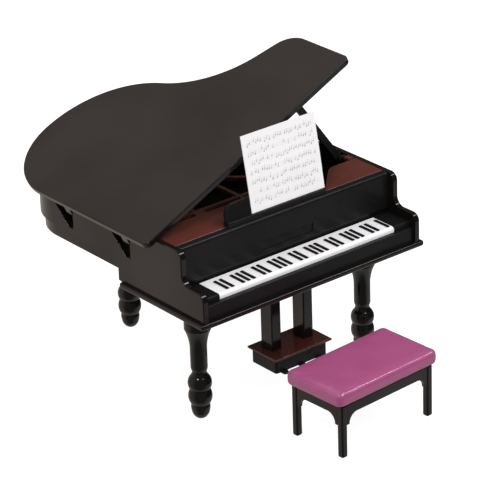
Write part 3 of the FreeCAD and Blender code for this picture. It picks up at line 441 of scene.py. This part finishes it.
def inflate(pad):
    """Blows the pad up as cloth, with its flat underside held, and returns the moved mesh."""
    lowest = min(vertex.co.z for vertex in pad.data.vertices)
    limit = lowest + PAD_HELD * PAD_VOXEL * PAD_SCALE
    held = pad.vertex_groups.new(name="held")
    held.add([vertex.index for vertex in pad.data.vertices if vertex.co.z < limit], 1.0, "REPLACE")
    cloth = pad.modifiers.new("cloth", "CLOTH")
    for key, value in CLOTH.items():
        setattr(cloth.settings, key, value)
    cloth.settings.effector_weights.gravity = 0.0
    cloth.settings.vertex_group_mass = "held"
    cloth.collision_settings.use_collision = False
    cloth.point_cache.frame_start = 1
    cloth.point_cache.frame_end = PAD_FRAMES
    scene = bpy.context.scene
    for number in range(1, PAD_FRAMES + 1):
        scene.frame_set(number)
    blown = evaluated_copy(pad, "cushion_blown")
    pad.modifiers.clear()
    scene.frame_set(1)
    return blown


def cap_movement(before, after, cap):
    """Pulls points back that have moved farther than the cap."""
    for start, end in zip(before.vertices, after.vertices):
        step = end.co - start.co
        if step.length > cap:
            end.co = start.co + step * (cap / step.length)


def cushion():
    """The satin seat: the CAD cushion evenly remeshed, pushed out by the cap the way that cloth under
    pressure goes, and set back to its real size. Its shape is close to the CAD cushion's, as the
    pressure alone would carry nearly every free point past the cap."""
    pad = pad_blank(frame["nodes"]["bench_cushion"])
    blown = inflate(pad)
    cap_movement(pad.data, blown, PAD_CAP * PAD_SCALE)
    fill_box(blown, *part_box("bench_cushion"))
    bpy.data.objects.remove(pad)
    for face in blown.polygons:
        face.use_smooth = True
    blown.materials.clear()
    blown.materials.append(MATERIALS["pink_satin"])
    seat = add_object("bench_seat_pad", blown)
    finer = seat.modifiers.new("finer", "SUBSURF")
    finer.levels = finer.render_levels = 1
    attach(seat, "bench")
    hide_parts("bench_cushion")


# ---------------------------------------------------------------- studio

def world_light():
    """Even white light, but what the gloss mirrors is bright behind and to the left and dark in
    front and to the right, as round a table in a light tent that is open towards the viewer."""
    world = bpy.data.worlds.new("studio")
    bpy.context.scene.world = world
    world.use_nodes = True
    n = Nodes(world.node_tree)
    x, y, z = n.split(n.add("ShaderNodeTexCoord").outputs["Generated"])

    def fade(source, limits):
        return n.ramp(source, *limits, kind="SMOOTHSTEP")

    tent = n.math("MULTIPLY", fade(y, TENT_BY_Y), fade(x, TENT_BY_X))
    facing = n.math("ADD", n.math("MULTIPLY", x, VIEWER_SIDE[0]), n.math("MULTIPLY", y, VIEWER_SIDE[1]))
    table = n.math("MULTIPLY", fade(z, TABLE_BY_Z), fade(facing, TABLE_BY_FACING))
    glossy = n.add("ShaderNodeLightPath").outputs["Is Glossy Ray"]
    warm = n.math("MULTIPLY", glossy, fade(y, WARM_BY_Y))
    background = n.tree.nodes["Background"].inputs
    n.link(n.mix(glossy, fade(z, EVEN_BY_Z), n.math("MAXIMUM", tent, table), kind="FLOAT"),
           background["Strength"])
    n.link(n.mix(warm, LIGHT_WHITE, LIGHT_WARM), background["Color"])


def softbox(name, location, size, power):
    light = bpy.data.lights.new(name, "AREA")
    light.shape = "RECTANGLE"
    light.size, light.size_y = size
    light.energy = power
    obj = add_object(name, light)
    obj.location = location
    obj.rotation_euler = (Vector(LIGHT_TARGET) - Vector(location)).to_track_quat("-Z", "Y").to_euler()


def floor():
    corners = [(x * FLOOR_HALF, y * FLOOR_HALF, 0) for x, y in ((-1, -1), (1, -1), (1, 1), (-1, 1))]
    mesh = bpy.data.meshes.new("studio_floor")
    mesh.from_pydata(corners, [], [(0, 1, 2, 3)])
    obj = add_object("studio_floor", mesh)
    n = Finish("floor_white")
    n.set("Base Color", FLOOR_GREY)
    n.set("Roughness", 0.9)
    n.set("Specular IOR Level", 0.0)
    n.set("Emission Color", (1.0, 1.0, 1.0))
    seen = n.add("ShaderNodeLightPath").outputs["Is Camera Ray"]
    n.set("Emission Strength", n.ramp(seen, 0.0, 1.0, FLOOR_GLOW, FLOOR_SEEN))
    mesh.materials.append(n.material)
    obj.location.z = -FLOOR_DROP
    obj.visible_glossy = False


def camera():
    low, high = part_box("key_bed")
    origin = Vector(((low.x + high.x) / 2, low.y, 0.0))
    azimuth, elevation, roll = (math.radians(v) for v in (CAMERA_AZIMUTH, CAMERA_ELEVATION, CAMERA_ROLL))
    back = Vector((math.sin(azimuth) * math.cos(elevation), -math.cos(azimuth) * math.cos(elevation),
                   math.sin(elevation)))
    level = Vector((0, 0, 1)).cross(back).normalized()
    upright = back.cross(level)
    right = math.cos(roll) * level + math.sin(roll) * upright
    up = -math.sin(roll) * level + math.cos(roll) * upright
    data = bpy.data.cameras.new("camera")
    data.lens = CAMERA_LENS_MM
    data.sensor_width = CAMERA_SENSOR_MM
    data.clip_start, data.clip_end = CAMERA_CLIP
    obj = add_object("camera", data)
    place = origin + back * CAMERA_DISTANCE + right * CAMERA_ASIDE + up * CAMERA_ABOVE
    obj.matrix_world = Matrix.Translation(place) @ Matrix((right, up, back)).transposed().to_4x4()
    bpy.context.scene.camera = obj


dress_cad_nodes()
cushion()
world_light()
floor()
for box_name, box_settings in SOFTBOXES.items():
    softbox(box_name, *box_settings)
camera()

bpy.context.scene.view_settings.view_transform = "Standard"
bpy.context.scene.view_settings.look = "None"
